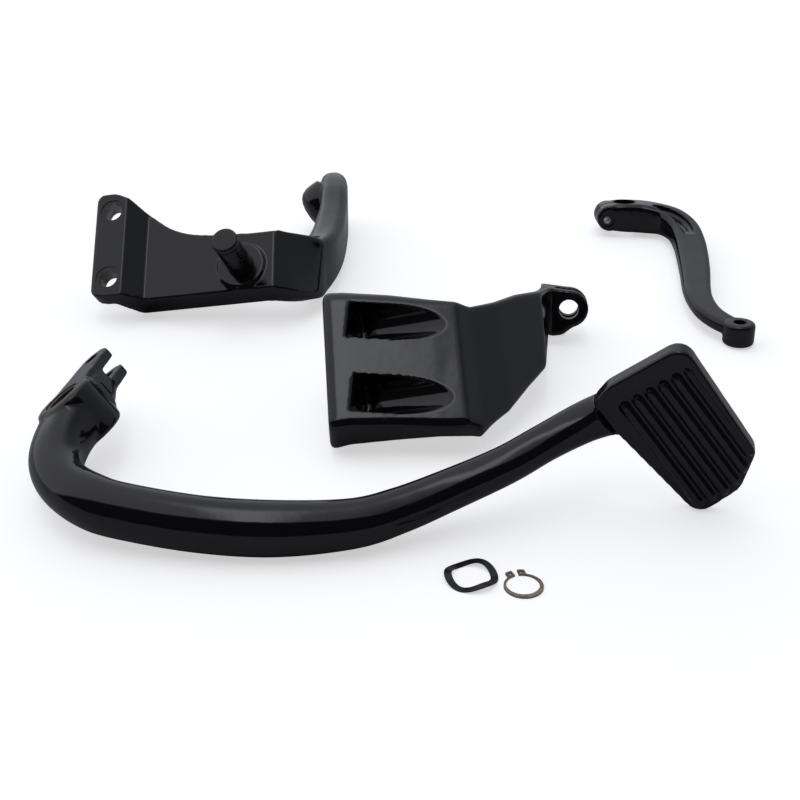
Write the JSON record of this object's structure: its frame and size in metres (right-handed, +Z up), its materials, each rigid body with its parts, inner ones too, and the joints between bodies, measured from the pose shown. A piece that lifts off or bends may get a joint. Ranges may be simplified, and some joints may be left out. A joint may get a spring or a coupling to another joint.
{
  "type": "motorcycle forward controls",
  "caption": "Motorcycle forward controls laid out loose: two footpeg brackets, a brake pedal with a ribbed pad, a shift lever, a wave washer and a retaining ring, in gloss black.",
  "frame": {"origin": "centre of the laid-out kit on the bench it lies on", "axes": "+Z up from the bench, +X to the right and +Y away from the viewer of the picture"},
  "size_m": [0.3992, 0.4588, 0.0872],
  "materials": {
    "black_gloss_coat": "gloss black powder coat over cast steel",
    "black_stud_steel": "black coated turned steel, slightly duller than the castings",
    "bearing_bronze": "dark oiled bearing bronze",
    "black_phosphate": "black phosphated spring steel",
    "bare_spring_steel": "bare spring steel with a warm oil tint"
  },
  "bodies": {
    "root": {"brake_side_bracket": "black_gloss_coat", "pedal_pivot_stud": "black_stud_steel", "shift_side_bracket": "black_gloss_coat", "brake_pedal": "black_gloss_coat", "pedal_bushing": "bearing_bronze", "shift_lever": "black_gloss_coat", "wave_washer": "black_phosphate", "retaining_ring": "bare_spring_steel"}
  },
  "joints": []
}
